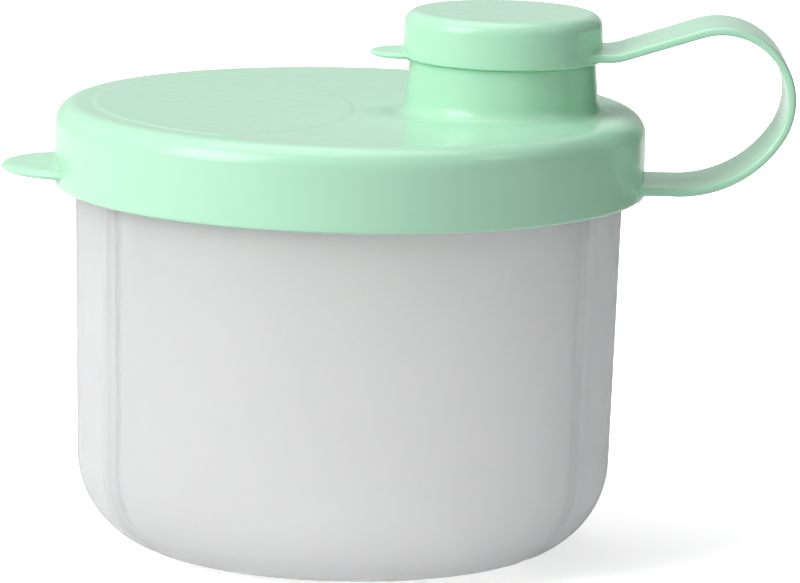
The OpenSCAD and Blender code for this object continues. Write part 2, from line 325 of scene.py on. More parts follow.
class StageSizes(bpy.types.PropertyGroup):
    distance: measure("Distance", "From the camera to the point that it looks at", 1.2)
    elevation: angle("Elevation", "Height of the camera above level", 9.82)
    roll: angle("Roll", "Turn of the camera about its line of sight", 1.35)
    aim: length("Aim", "Height of the point on the axis that the camera looks at", 50)
    focal_length: pixels("Focal length", "Distance of the image plane", 6407.8)
    aim_column: pixels("Aim column", "Column of the point that the camera looks at", 346.9)
    aim_row: pixels("Aim row", "Row of that point", 281.2)
    image_width: pixels("Image width", "Number of columns", 800)
    image_height: pixels("Image height", "Number of rows", 583)
    ambient: factor("Ambient", "Strength of the even light from all round", 0.2)
    floor_glow: factor("Floor glow", "Glow of the floor at the foot of the container", 0.6)
    mirrored: factor("Mirrored glow", "Share of the white that mirrored rays see", 0.55)


class ContainerSettings(bpy.types.PropertyGroup):
    tub: PointerProperty(type=TubSizes)
    divider: PointerProperty(type=DividerSizes)
    lid: PointerProperty(type=LidSizes)
    pull_tab: PointerProperty(type=PullTab)
    spout: PointerProperty(type=SpoutSizes)
    cap: PointerProperty(type=CapSizes)
    cap_tab: PointerProperty(type=CapTab)
    strap: PointerProperty(type=StrapSizes)
    finish: PointerProperty(type=Finishes)
    stage: PointerProperty(type=StageSizes)


def smooth(low, high, x):
    """Zero below low, one above high, and a cubic S between them."""
    t = np.clip((np.asarray(x) - low) / (high - low), 0, 1)
    return t * t * (3 - 2 * t)


def plateau(x, start, full, ease, end):
    """Zero below start, one from full to ease, zero above end, with a cubic S on either slope."""
    return smooth(start, full, x) * (1 - smooth(ease, end, x))


def cove(distance, radius):
    """Rise of a quarter-round fillet at a distance from the wall: its radius at the wall, zero past it."""
    left = 1 - np.clip(distance / radius, 0, 1)
    return radius * (1 - np.sqrt(1 - left * left))


def unit(vectors):
    """Vectors of length one along the last axis."""
    return vectors / np.linalg.norm(vectors, axis=-1, keepdims=True)


def rounded(corners, radii, steps=12):
    """Outline through corners, with each inner corner replaced by an arc that is tangent to both sides.
    A guard point beside each end of an arc keeps the flat next to it flat in shading."""
    corners = np.asarray(corners, float)
    parts = [corners[:1]]
    for before, corner, after, radius in zip(corners[:-2], corners[1:-1], corners[2:], radii):
        back = unit(before - corner)
        ahead = unit(after - corner)
        half = math.acos(np.clip(back @ ahead, -1, 1)) / 2
        run = radius / math.tan(half)
        centre = corner + unit(back + ahead) * radius / math.sin(half)
        first = corner + back * run - centre
        last = corner + ahead * run - centre
        sweep = math.pi - 2 * half
        t = np.linspace(0, 1, steps + 1)[:, None]
        arc = centre + (np.sin((1 - t) * sweep) * first + np.sin(t * sweep) * last) / math.sin(sweep)
        parts += [arc[:1] + back * GUARD, arc, arc[-1:] + ahead * GUARD]
    parts.append(corners[-1:])
    return np.concatenate(parts)


def refine(line, step):
    """Outline with points added evenly wherever two neighbours lie further apart than a step."""
    gaps = np.linalg.norm(np.diff(line, axis=0), axis=1)
    counts = np.maximum(np.ceil(gaps / step).astype(int), 1)
    spans = [np.linspace(a, b, n, endpoint=False) for a, b, n in zip(line[:-1], line[1:], counts)]
    return np.concatenate(spans + [line[-1:]])


def spin(profile, angles, x=0.0):
    """Surface of revolution: every profile point (radius, height) goes round an upright axis at x."""
    radius, height = profile[:, 0, None], profile[:, 1, None]
    rows = np.broadcast_arrays(x + radius * np.cos(angles), radius * np.sin(angles), height)
    return np.stack(rows, -1)


def towards(angles):
    """Plane vectors of length one at angles."""
    return np.stack([np.cos(angles), np.sin(angles)], 1)


def nearest_turn(angles, centres):
    """Signed angle from the nearest of the centres."""
    turn = (angles[:, None] - centres + math.pi) % TAU - math.pi
    return turn[np.arange(len(angles)), np.abs(turn).argmin(1)]


def crowded_angles(centres, spread, crowd, count):
    """Angles round a full circle that lie closer together near some centres: the running sum of a
    density with a bell at each centre is divided evenly."""
    turn = np.linspace(0, TAU, DENSE_TURNS)
    density = 1 + crowd * np.exp(-((nearest_turn(turn, centres) / spread) ** 2))
    total = np.concatenate([[0], np.cumsum((density[1:] + density[:-1]) / 2)])
    return np.interp(np.linspace(0, total[-1], count, endpoint=False), total, turn)


def lifted(points, heights):
    """Plane points lifted to a height, or each row of them to its own height."""
    column = np.reshape(heights, (-1,) + (1,) * (points.ndim - 1))
    return np.concatenate([points, np.broadcast_to(column, points.shape[:-1] + (1,))], -1)


def put(name, data):
    """New object of some data in the scene."""
    made = bpy.data.objects.new(name, data)
    bpy.context.scene.collection.objects.link(made)
    return made


class Skin:
    """Patches of points that are welded into one closed mesh."""

    def __init__(self):
        self.points = []
        self.faces = []
        self.count = 0

    def add(self, points, faces):
        self.points.append(points)
        self.faces.append(faces + self.count)
        self.count += len(points)

    def patch(self, grid):
        """Four-sided faces between neighbours of a grid of points."""
        rows, columns = grid.shape[:2]
        index = np.arange(rows * columns).reshape(rows, columns)
        faces = np.stack([index[:-1, :-1], index[:-1, 1:], index[1:, 1:], index[1:, :-1]], -1)
        self.add(grid.reshape(-1, 3), faces.reshape(-1, 4))

    def tube(self, grid):
        """Patch whose rows are closed loops."""
        self.patch(np.concatenate([grid, grid[:, :1]], 1))

    def loft(self, grid):
        """Tube that a fan about its middle closes at either end."""
        self.tube(grid)
        for loop in (grid[0], grid[-1]):
            middle = np.broadcast_to(loop.mean(0), loop.shape)
            self.tube(np.stack([loop, middle]))

    def stitch(self, first, last):
        """Triangles between two loops round the upright axis with different numbers of points: both are
        walked together by angle, and each step adds one triangle."""
        turns = [np.arctan2(loop[:, 1], loop[:, 0]) % TAU for loop in (first, last)]
        loops = [loop[np.argsort(turn)] for loop, turn in zip((first, last), turns)]
        order = np.argsort(np.concatenate([np.sort(turn) for turn in turns]), kind="stable")
        many = len(first)
        on_first = order < many
        one = (np.cumsum(on_first) - 1) % many
        two = (np.cumsum(~on_first) - 1) % len(last) + many
        earlier = np.where(on_first, (one - 1) % many, (two - many - 1) % len(last) + many)
        here = np.where(on_first, one, two)
        across = np.where(on_first, two, one)
        self.add(np.concatenate(loops), np.stack([earlier, here, across, across], -1))

    def build(self, name):
        """Object with the patches welded: equal points become one, faces that shrink lose a corner, and
        all faces are turned outwards."""
        points = np.concatenate(self.points)
        faces = np.concatenate(self.faces)
        _, first, same = np.unique(np.round(points, WELD_DIGITS), axis=0, return_index=True,
                                   return_inverse=True)
        faces = same.reshape(-1)[faces]
        repeats = faces == np.roll(faces, -1, axis=1)
        quads = faces[repeats.sum(1) == 0]
        shrunk = repeats.sum(1) == 1
        triangles = faces[shrunk][~repeats[shrunk]].reshape(-1, 3)
        mesh = bpy.data.meshes.new(name)
        mesh.from_pydata(points[first], [], quads.tolist() + triangles.tolist())
        work = bmesh.new()
        work.from_mesh(mesh)
        bmesh.ops.recalc_face_normals(work, faces=work.faces)
        open_edges = sum(not edge.is_manifold for edge in work.edges)
        work.to_mesh(mesh)
        work.free()
        if open_edges:
            raise RuntimeError(f"{name} has {open_edges} open edges")
        mesh.shade_smooth()
        mesh.set_sharp_from_angle(angle=SHARP_EDGE)
        return put(name, mesh)


def groove_turns(tub):
    """Directions of the grooves, evenly round the tub."""
    return tub.first_groove + np.arange(tub.compartments) * TAU / tub.compartments


def outward(profile):
    """Normals of an outline that runs with its material on the left."""
    along = unit(np.gradient(profile, axis=0))
    return np.stack([along[:, 1], -along[:, 0]], 1)


def tub_inside(tub, gap):
    """Outline of the inside of the tub, drawn in by a gap: wall, rounding and floor."""
    lean = math.tan(tub.lean)
    foot = tub.foot_radius - (tub.wall + gap) / math.cos(tub.lean)
    floor = tub.floor + gap
    return np.array([(foot + tub.height * lean, tub.height), (foot + floor * lean, floor), (0, floor)])


def tub_shell(tub):
    """Tub as two spun outlines that meet on the rim. Outside, each groove draws the wall in along its
    normal, with straight flanks over the distance from the groove's middle plane. Inside, two ribs beside
    each slot stand out by a soft band over the same distance."""
    lean = math.tan(tub.lean)
    bead_low = tub.height - tub.bead_height
    wall_top = tub.foot_radius + bead_low * lean
    inside = tub_inside(tub, 0)
    rim = ((tub.bead_radius + inside[0, 0]) / 2, tub.height)
    outer = rounded([(0, 0), (tub.foot_radius, 0), (wall_top, bead_low), (tub.bead_radius, bead_low),
                     (tub.bead_radius, tub.height), rim],
                    [tub.base_round, FINE_ROUND, SOFT_ROUND, RIM_ROUND], steps=24)
    inner = rounded([rim, *inside], [SOFT_ROUND, tub.base_round - tub.wall], steps=24)
    turns = groove_turns(tub)
    angles = crowded_angles(turns, GROOVE_SPREAD / tub.foot_radius, GROOVE_CROWD, TUB_TURNS)
    off = nearest_turn(angles, turns)
    skin = Skin()
    for profile, outside in ((outer, True), (inner, False)):
        profile = refine(profile, COARSE_STEP)
        normal = outward(profile)
        grid = spin(profile, angles)
        push = spin(normal, angles)
        side = profile[:, :1] * np.sin(off)
        height = profile[:, 1:]
        if outside:
            half = tub.groove_width / 2
            depth = -tub.groove_depth * np.clip((half - np.abs(side)) / tub.groove_flank + 0.5, 0, 1)
            run = plateau(height, GUARD, GROOVE_FOOT, tub.groove_top, tub.groove_top + GROOVE_FADE)
        else:
            low = tub.slot_width / 2
            high = low + tub.rib_width
            soft = RIB_SOFT / 2
            depth = tub.rib_depth * plateau(np.abs(side), low - soft, low + soft, high - soft, high + soft)
            run = plateau(height, tub.floor, RIB_FOOT, tub.rib_top - RIB_FADE, tub.rib_top)
        skin.tube(grid + (depth * run)[..., None] * push)
    return skin.build("tub_shell")


def wing_outline(divider, half_turn, reach, inset):
    """One wing's share of the divider's outline: along the round post from half way to the next wing,
    through a fillet, out along the wing, round its tip and back, drawn in by an inset."""
    half = divider.wing / 2 - inset
    post = divider.post_radius - inset
    tip_x = reach - inset - divider.edge
    fillet = divider.post_fillet
    foot_y = half + fillet
    foot_x = math.sqrt((post + fillet) ** 2 - foot_y ** 2)
    lean = math.atan2(foot_y, foot_x)
    on_post = np.linspace(half_turn, lean, ARC_POINTS)[:-1]
    hollow = np.linspace(math.pi + lean, 1.5 * math.pi, ARC_POINTS)
    flank = np.linspace(foot_x, tip_x, ARC_POINTS)[1:-1]
    tip = np.linspace(math.pi / 2, 0, ARC_POINTS)
    x = np.concatenate([post * np.cos(on_post), foot_x + fillet * np.cos(hollow), flank,
                        tip_x + divider.edge * np.cos(tip)])
    y = np.concatenate([post * np.sin(on_post), foot_y + fillet * np.sin(hollow),
                        np.full(flank.shape, half), half - divider.edge * (1 - np.sin(tip))])
    upper = np.stack([x, y], 1)
    return np.concatenate([upper, upper[:0:-1] * (1, -1)])


def divider_insert(divider, tub):
    """Divider as one loft of its winged outline up the tub: the reach of the wings follows the inside of
    the tub, steps in under the lid, and the outline draws in at the rounded top and bottom."""
    inside = rounded(tub_inside(tub, divider.gap), [tub.base_round - tub.wall - divider.gap], steps=40)
    inside = inside[::-1]
    edge = divider.edge
    low, high = DIVIDER_LOW.z, DIVIDER_HIGH.z
    turn = np.linspace(0, math.pi / 2, DIVIDER_EDGE_ROWS)
    wall = inside[:, 1][inside[:, 1] > low + 1.2 * edge]
    wall = wall[wall < divider.step_height - 2 * GUARD]
    heights = np.concatenate([low + edge * (1 - np.cos(turn)), wall, np.full(2, divider.step_height),
                              high - edge * (1 - np.sin(turn))])
    reach = np.interp(heights, inside[:, 1], inside[:, 0])
    upper = np.arange(len(heights)) >= len(heights) - len(turn) - 1
    reach = np.where(upper, divider.step_radius, reach)
    inset = np.zeros(len(heights))
    inset[:len(turn)] = edge * (1 - np.sin(turn))
    inset[-len(turn):] = edge * (1 - np.cos(turn))
    half_turn = math.pi / tub.compartments
    rows = [wing_outline(divider, half_turn, *row) for row in zip(reach, inset)]
    outlines = np.stack(rows)[:, ::-1]
    wings = []
    for turn_to in groove_turns(tub):
        c, s = math.cos(turn_to), math.sin(turn_to)
        wings.append(outlines @ np.array([(c, s), (-s, c)]))
    grid = lifted(np.concatenate(wings, 1), heights)
    skin = Skin()
    skin.loft(grid)
    return skin.build("divider_insert")


def seal_ring():
    """Sealing ring: a small rounded section spun round the axis."""
    outer = SEAL_HIGH.x
    inner = outer - SEAL_WIDTH
    middle = (inner + outer) / 2
    low, high = SEAL_LOW.z, SEAL_HIGH.z
    section = rounded([(middle, low), (outer, low), (outer, high), (inner, high), (inner, low),
                       (middle, low)], [SOFT_ROUND] * 4, steps=8)
    skin = Skin()
    skin.tube(spin(section, ROUND_TURNS))
    return skin.build("seal_ring")


def rings(boundary, centre, profile, count):
    """Flat rows from a boundary loop in to a circle, then circles of a profile (radius, height) about
    the same centre: every point keeps to the ray from the centre to its boundary point."""
    ray = unit(boundary - centre)
    level = profile[0, 1]
    start = centre + ray * profile[0, 0]
    sheet = np.linspace(lifted(boundary, level), lifted(start, level), count)
    circles = lifted(centre + ray * profile[:, None, :1], profile[:, 1])
    return np.concatenate([sheet[:-1], circles])


def to_circle(ray, start, middle_x, radius):
    """Distance along rays from a start inside a circle to that circle, whose middle lies on the x axis."""
    from_middle = start - np.array([middle_x, 0])
    along = ray @ from_middle
    return np.sqrt(along ** 2 - from_middle @ from_middle + radius ** 2) - along


def leaf_panel(field, lid):
    """Left field of the lid top, in rows from its border in to a point: flat up to the panel, up a soft
    slope, and on at the panel's height. The panel's border on each ray is the nearer of two circles, the
    edge of the top and the panel's end, blended where they meet."""
    edge = lid.radius - lid.edge_round - lid.panel_margin
    end_middle = lid.panel_end - lid.panel_curve
    start = np.array([(lid.panel_end - edge) / 2, 0])
    ray = unit(field - start)
    both = np.stack([to_circle(ray, start, 0, edge), to_circle(ray, start, end_middle, lid.panel_curve)])
    border = -PANEL_BLEND * np.log(np.exp(-both / PANEL_BLEND).sum(0))
    slope = np.linspace(0, -lid.panel_slope, ARC_POINTS)
    off = np.concatenate([[3 * GUARD], slope, [-lid.panel_slope - 3 * GUARD]])
    rise = lid.panel_rise * smooth(0, lid.panel_slope, -off)
    inwards = np.linspace(1, 0, PANEL_ROWS)[1:]
    reach = np.concatenate([border + off[:, None], (border + off[-1]) * inwards[:, None]])
    tall = lid.top + np.concatenate([rise, np.full(len(inwards), lid.panel_rise)])
    rows = lifted(start + ray * reach[..., None], tall)
    return np.concatenate([np.linspace(lifted(field, lid.top), rows[0], 4)[:-1], rows])


def dished(grid, lid, brim, neck_top):
    """Grid of the lid top with a shallow bowl: it sinks with the square of the distance from the edge,
    less and less up the neck, and not at all on the underside."""
    tall = grid[..., 2]
    bowl = np.clip(1 - (grid[..., 0] ** 2 + grid[..., 1] ** 2) / brim ** 2, 0, 1)
    share = plateau(tall, lid.top - lid.thick, lid.top - lid.thick / 3, lid.top, neck_top)
    return np.concatenate([grid[..., :2], (tall - lid.dish * bowl * share)[..., None]], -1)


def skirt_outline(lid):
    """Outline from the brim down the skirt, round its lower edge, over the catch bead and in below."""
    inside = lid.radius - lid.wall
    under = lid.top - lid.thick
    catch_high = lid.catch_low + lid.catch_height
    return rounded([(lid.radius - lid.edge_round - BRIM, lid.top), (lid.radius, lid.top),
                    (lid.radius, lid.skirt_low), (inside, lid.skirt_low), (inside, lid.catch_low),
                    (lid.catch_radius, lid.catch_low + CATCH_LEAD),
                    (lid.catch_radius, catch_high - CATCH_BACK), (inside, catch_high),
                    (inside, under), (lid.lip_outer + 2 * LIP_MARGIN, under)],
                   [lid.edge_round, lid.foot_round, SOFT_ROUND, *[HAIR_ROUND] * 4, lid.inner_round])


def neck_outline(lid, spout):
    """Outline about the spout's own axis: foot, leaning neck, collar, bore and the underside round it."""
    under = lid.top - lid.thick
    neck_top = lid.top + spout.neck_height
    narrow = spout.neck_radius - spout.neck_height * math.tan(spout.neck_lean)
    bore = spout.collar_radius - spout.collar_wall
    foot = spout.neck_radius + spout.neck_fillet + 2 * GUARD
    return rounded([(foot, lid.top), (spout.neck_radius, lid.top), (narrow, neck_top),
                    (spout.collar_radius, neck_top), (spout.collar_radius, spout.collar_top),
                    (bore, spout.collar_top), (bore, under), (bore + BORE_MARGIN, under)],
                   [spout.neck_fillet, MILD_ROUND, FINE_ROUND, MILD_ROUND, MILD_ROUND, SOFT_ROUND],
                   steps=10)


def lip_outline(lid):
    """Outline of the lip inside the rim, from the underside within it to the underside round it."""
    under = lid.top - lid.thick
    low = under - lid.lip_depth
    inside = lid.lip_outer - lid.lip_wall
    return rounded([(inside - SOFT_ROUND, under), (inside, under), (inside, low), (lid.lip_outer, low),
                    (lid.lip_outer, under), (lid.lip_outer + LIP_MARGIN, under)],
                   [HAIR_ROUND, FINE_ROUND, FINE_ROUND, HAIR_ROUND], steps=6)


def lid_shell(lid, spout, spout_x):
    """Lid as one closed skin. The skirt is spun about the axis of the lid. The top is parted along a
    straight line into two fields, which run in to the leaf-shaped panel and to the foot of the neck. The
    neck is spun about its own axis, and its bore ends in the underside, which runs out to the lip."""
    skirt, neck, lip = skirt_outline(lid), neck_outline(lid, spout), lip_outline(lid)
    brim = skirt[0, 0]
    part = math.acos(lid.split / brim)
    right = np.linspace(-part, part, LID_RIGHT_POINTS)
    left = np.linspace(part, TAU - part, LID_LEFT_POINTS)
    around = np.concatenate([right[:-1], left[:-1]])
    skin = Skin()
    skin.tube(spin(skirt, around))

    chord_y = brim * math.sin(part) * np.linspace(1, -1, LID_SPLIT_POINTS)[1:-1]
    chord = np.stack([np.full(chord_y.shape, lid.split), chord_y], 1)
    left_field = np.concatenate([brim * towards(left), chord[::-1]])
    right_field = np.concatenate([brim * towards(right), chord])
    axis = np.array([spout_x, 0])
    neck_top = lid.top + spout.neck_height
    skin.tube(dished(leaf_panel(left_field, lid), lid, brim, neck_top))
    skin.tube(dished(rings(right_field, axis, refine(neck, NECK_STEP), 9), lid, brim, neck_top))

    under = lid.top - lid.thick
    ray = unit(right_field - axis)
    start = lifted(axis + ray * neck[-1, 0], under)
    end = lifted(axis + ray * to_circle(ray, axis, 0, lip[0, 0])[:, None], under)
    skin.tube(np.linspace(start, end, 8))
    lip_grid = spin(lip, np.arctan2(end[:, 1], end[:, 0]))
    skin.tube(lip_grid)
    skin.stitch(lip_grid[-1], spin(skirt[-1:], around)[0])
    return skin.build("lid_shell")


def half_moon(name, tab, axis_x, wall, low, under_fillet):
    """Half-moon tab that points to -X from a round wall. Its outline is an arc with a hollow corner at
    either end, tangent to the wall. Each section runs from the wall through a fillet over the top,
    round an edge that is half an ellipse and back under it."""
    corner, edge, thick = tab.corner, tab.edge, tab.thick
    round_r = tab.width / 2
    middle = round_r - wall - tab.reach
    corner_x = ((wall + corner) ** 2 - (round_r + corner) ** 2 + middle ** 2) / (2 * middle)
    corner_y = math.sqrt((wall + corner) ** 2 - corner_x ** 2)
    from_wall = math.atan2(-corner_y, -corner_x)
    to_tab = math.atan2(-corner_y, middle - corner_x) % TAU
    hollow = towards(np.linspace(from_wall % TAU, to_tab, HOLLOW_POINTS))
    first = to_tab - math.pi
    arc = towards(np.linspace(first, TAU - first, TAB_POINTS)[1:-1])
    mirror = np.array([1, -1])
    end = np.array([corner_x, corner_y]) + corner * hollow
    line = np.concatenate([end, np.array([middle, 0]) + round_r * arc, end[::-1] * mirror])
    normal = np.concatenate([-hollow, arc, -hollow[::-1] * mirror])
    inner = line - normal * edge
    spoke = unit(inner)
    foot = spoke * wall
    room = np.clip(np.linalg.norm(inner, axis=1) - wall, 0, None)
    share = np.concatenate([1 - np.cos(np.linspace(0, math.pi / 2, ARC_POINTS)), PAST_FILLET])
    rows = []
    for fillet, level, up in ((tab.fillet, low + thick, 1), (under_fillet, low, -1)):
        size = np.minimum(fillet, FILLET_SHARE * room) + TINY
        away = np.minimum(share[:, None] * size, room)
        rise = cove(away, size)
        plan = foot + spoke * (away[..., None] - SINK)
        buried = np.concatenate([(foot - spoke * TAB_BURY)[None], plan, inner[None]])
        tall = level + up * np.concatenate([rise[:1], rise, np.zeros((1, len(line)))])
        rows.append(np.concatenate([buried, tall[..., None]], -1))
    turn = np.linspace(math.pi / 2, -math.pi / 2, EDGE_POINTS)[1:-1]
    bulge = inner + normal * edge * np.cos(turn)[:, None, None]
    rim = lifted(bulge, low + thick * (1 + np.sin(turn)) / 2)
    section = np.concatenate([rows[0], rim, rows[1][::-1]])
    section[..., 0] += axis_x
    grid = section.transpose(1, 0, 2)
    skin = Skin()
    skin.loft(grid)
    return skin.build(name)


def cap_shell(cap, spout_x):
    """Cap as one outline spun about the axis of the spout: top, rounded edge, leaning wall, lower edge,
    inside, and the plug that hangs from the top."""
    rise = cap.high - cap.low
    shoulder = cap.radius - rise * math.tan(cap.lean)
    under = cap.high - cap.thick
    plug_low = under - cap.plug_depth
    plug_root = cap.plug_radius + cap.plug_depth * math.tan(cap.plug_lean)
    plug_in = cap.plug_radius - cap.plug_wall
    outline = rounded([(0, cap.high), (shoulder, cap.high), (cap.radius, cap.low),
                       (cap.inner_radius, cap.low), (cap.inner_radius, under), (plug_root, under),
                       (cap.plug_radius, plug_low), (plug_in, plug_low), (plug_in, under), (0, under)],
                      [cap.edge_round, cap.foot_round, MILD_ROUND, SOFT_ROUND, MILD_ROUND, FINE_ROUND,
                       FINE_ROUND, MILD_ROUND], steps=18)
    skin = Skin()
    skin.tube(spin(refine(outline, COARSE_STEP), ROUND_TURNS, spout_x))
    return skin.build("cap_shell")


def strap_line(strap, lid, cap, spout_x):
    """Middle line of the strap as lengths along it, x, z and heading, with the marks between its runs and
    the places of its flexing lines. It goes level out of the skirt, through a wide bend, a round loop
    whose radius closes the path, down a straight slope and through a bend that levels it at the cap.
    The places are the running sum of short steps along the heading."""
    root_x, root_z = lid.radius, lid.skirt_low + strap.root_lift
    end_x, end_z = spout_x + cap.radius + strap.end_run, cap.low + strap.end_lift
    bend, dip = strap.bend_turn, strap.dip
    bend_rise, dip_fall = strap.bend_radius * (1 - math.cos(bend)), strap.dip_radius * (1 - math.cos(dip))
    rise = end_z - root_z - bend_rise + dip_fall
    run = strap.reach - strap.dip_radius * math.sin(dip) - end_x + root_x
    turn_rise = math.cos(bend) + math.cos(dip)
    turn_run = 1 + math.sin(dip)
    share = turn_rise * math.cos(dip) + turn_run * math.sin(dip)
    loop = (rise * math.cos(dip) + run * math.sin(dip)) / share
    slope = (turn_rise * run - turn_run * rise) / share
    root_run = strap.reach - strap.bend_radius * math.sin(bend) - loop * (1 - math.sin(bend))
    runs = [root_run, strap.bend_radius * bend, loop * (math.pi + dip - bend), slope,
            strap.dip_radius * dip]
    marks = np.concatenate([[0], np.cumsum(runs)])
    heads = [0, 0, bend, math.pi + dip, math.pi + dip, math.pi]
    along = np.linspace(0, marks[-1], PATH_POINTS)
    heading = np.interp(along, marks, heads)
    step = along[1]
    middle = (heading[1:] + heading[:-1]) / 2
    x = root_x + np.concatenate([[0], np.cumsum(np.cos(middle))]) * step
    z = root_z + np.concatenate([[0], np.cumsum(np.sin(middle))]) * step
    flexes = [marks[1] + strap.bend_radius * bend / 2]
    flexes += [marks[2] + runs[2] * (i + 0.5) / strap.loop_flexes for i in range(strap.loop_flexes)]
    return along, x, z, heading, marks, np.array(flexes)


def strap_section(strap):
    """Section of the strap as (place across, place through): a flat band with rounded corners."""
    half, depth = strap.width / 2, strap.thick / 2
    outline = rounded([(0, depth), (half, depth), (half, -depth), (-half, -depth), (-half, depth),
                       (0, depth)], [strap.edge] * 4, steps=6)
    return refine(outline[:-1], BAND_STEP)


def strap_pieces(strap, lid, cap, spout_x):
    """Strap as five lofts of its band along the middle line, each from the middle of one link to the
    middle of the next. At both ends the level band runs on to the round wall, widening and thickening
    through a fillet."""
    along, x, z, heading, marks, flexes = strap_line(strap, lid, cap, spout_x)
    section = strap_section(strap)
    across, through = section[:, 0], section[:, 1]

    def narrowing(place):
        return 1 + strap.taper * (0.5 - place / marks[-1])

    def curved(start, stop):
        places = np.linspace(start, stop, int((stop - start) / STRAP_STEP))[:, None]
        px, pz, ph = (np.interp(places, along, values) for values in (x, z, heading))
        wide = across * narrowing(places)
        return np.stack([px - through * np.sin(ph), wide, pz + through * np.cos(ph)], -1)

    def level(axis_x, wall, edge_x, height, fillet, turned, place):
        share = (np.linspace(0, 1, STRAP_ROOT_ROWS) ** 2)[:, None]
        level_across = across * narrowing(place)
        away = share * (edge_x - axis_x - np.sqrt(wall ** 2 - level_across ** 2))
        wide = level_across * (1 + cove(away, strap.flare) * 2 / strap.width)
        thick = through * (1 + cove(away, fillet) * 2 / strap.thick)
        wall_x = axis_x + np.sqrt(wall ** 2 - wide ** 2)
        px = wall_x + away - SINK * (1 - share)
        grid = np.stack([px, wide, height + turned * thick], -1)
        buried = grid[:1] - np.array([STRAP_BURY, 0, 0])
        return np.concatenate([buried, grid])

    root_z, end_z = lid.skirt_low + strap.root_lift, cap.low + strap.end_lift
    wall_rise = strap.end_lift * math.tan(cap.lean)
    root = level(0, lid.radius, lid.radius + marks[1], root_z, strap.root_fillet, 1, marks[1])
    end = level(spout_x, cap.radius - wall_rise, x[-1], end_z, strap.end_fillet, -1, marks[-1])[::-1]
    cuts = (flexes[1:] + flexes[:-1]) / 2
    stops = np.concatenate([marks[1:2], cuts, marks[-1:]])
    pieces = []
    for i, (start, stop) in enumerate(zip(stops[:-1], stops[1:])):
        grid = curved(start, stop)
        if i == 0:
            grid = np.concatenate([root[:-1], grid])
        if i == len(cuts):
            grid = np.concatenate([grid, end[1:]])
        skin = Skin()
        skin.loft(grid)
        reach = min(flexes[i] - start, stop - flexes[i])
        ends = [(float(np.interp(s, along, x)), 0.0, float(np.interp(s, along, z)))
                for s in (flexes[i] - reach, flexes[i] + reach)]
        pieces.append((skin.build(f"strap_{i + 1}"), ends))
    return pieces


class Value:
    """Output of a shader node; a sum or a product with it adds a Math node."""

    def __init__(self, shader, socket):
        self.shader = shader
        self.socket = socket

    def __add__(self, other):
        return self.shader.node("Math", {0: self, 1: other}, operation="ADD")

    def __mul__(self, other):
        return self.shader.node("Math", {0: self, 1: other}, operation="MULTIPLY")


class Shader:
    """Node tree of a material or world, filled through one method."""

    def __init__(self, block):
        block.use_nodes = True
        self.tree = block.node_tree
        self.tree.nodes.clear()

    def node(self, kind, inputs=None, output=0, **settings):
        """Adds a node of a kind, sets its settings, fills or links its inputs and returns an output."""
        made = self.tree.nodes.new("ShaderNode" + kind)
        for name, value in settings.items():
            setattr(made, name, value)
        for key, value in (inputs or {}).items():
            if isinstance(value, Value):
                self.tree.links.new(value.socket, made.inputs[key])
            else:
                made.inputs[key].default_value = value
        return Value(self, made.outputs[output]) if made.outputs else made

    def place(self):
        """Place on the object."""
        return self.node("TexCoord", output=3)

    def noise(self, coordinates, scale, detail=2.0):
        """Cloudy value about one half."""
        return self.node("TexNoise", {"Vector": coordinates, "Scale": scale, "Detail": detail})

    def mix(self, share, one, two):
        """Colour between two colours."""
        return self.node("Mix", {0: share, 6: (*one, 1), 7: (*two, 1)}, 2, data_type="RGBA")

    def bump(self, height, strength, distance):
        """Normal tilted by a height."""
        return self.node("Bump", {"Height": height, "Strength": strength, "Distance": distance})


def moulding(name, tint, deep, roughness, spread, clouds, haze, grain, bump, sockets,
             drawn=1.0, detail=2.0):
    """Moulded plastic, made the first time that it is asked for: faint clouds between two tints, gloss that
    varies by a spread, and a fine relief. Clouds, haze and grain are the scales of their noise."""
    material = bpy.data.materials.get(name)
    if material:
        return material
    material = bpy.data.materials.new(name)
    shader = Shader(material)
    place = shader.place()
    stretched = shader.node("Mapping", {"Vector": place, "Scale": (1, 1, drawn)})
    relief = shader.noise(place, grain, detail)
    surface = shader.node("BsdfPrincipled", {
        "Base Color": shader.mix(shader.noise(stretched, clouds, CLOUD_DETAIL), tint, deep),
        "Roughness": shader.noise(place, haze) * spread + (roughness - spread / 2),
        "Normal": shader.bump(relief, bump, RELIEF),
        **sockets,
    })
    shader.node("OutputMaterial", {"Surface": surface})
    return material


def glossy_mint(finish):
    """Glossy soft moulding that lid, strap and cap share, with a slight orange-peel in its surface."""
    return moulding("glossy_mint", finish.mint, finish.mint_deep, finish.mint_gloss, spread=0.06,
                    clouds=45, haze=420, grain=900, detail=1.5, bump=0.15,
                    sockets={"Subsurface Weight": 0.12, "Subsurface Radius": (0.6, 1.0, 0.75),
                             "Subsurface Scale": GLOW_DEPTH, "IOR": 1.5, "Specular IOR Level": 0.4})


def milky_satin(finish):
    """Milky satin moulding of the tub: clouds drawn out upwards, and light that passes the wall."""
    return moulding("milky_satin", finish.milky, finish.milky_deep, finish.milky_gloss, spread=0.12,
                    clouds=40, drawn=0.35, haze=380, grain=1500, bump=0.2,
                    sockets={"Transmission Weight": 0.75, "IOR": 1.49})


def satin_plastic(name, tint, roughness, grain):
    """Plain satin moulding, for the divider and the sealing ring."""
    deep = [channel * 0.95 for channel in tint]
    return moulding(name, tint, deep, roughness, spread=0.12, clouds=60, haze=grain, grain=grain, bump=0.25,
                    sockets={"Subsurface Weight": 0.15, "Subsurface Scale": GLOW_DEPTH})


def spout_place(settings):
    """Distance of the spout's axis from the axis of the tub, from the tip of the cap tab."""
    return CAP_LOW.x + settings.cap.radius + settings.cap_tab.reach


def dress(piece, body, slot, material, *nodes):
    """Gives a piece its material, its body and the nodes that it stands for. The slot is not used."""
    piece.data.materials.append(material)
    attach(piece, body)
    if nodes:
        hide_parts(*nodes)


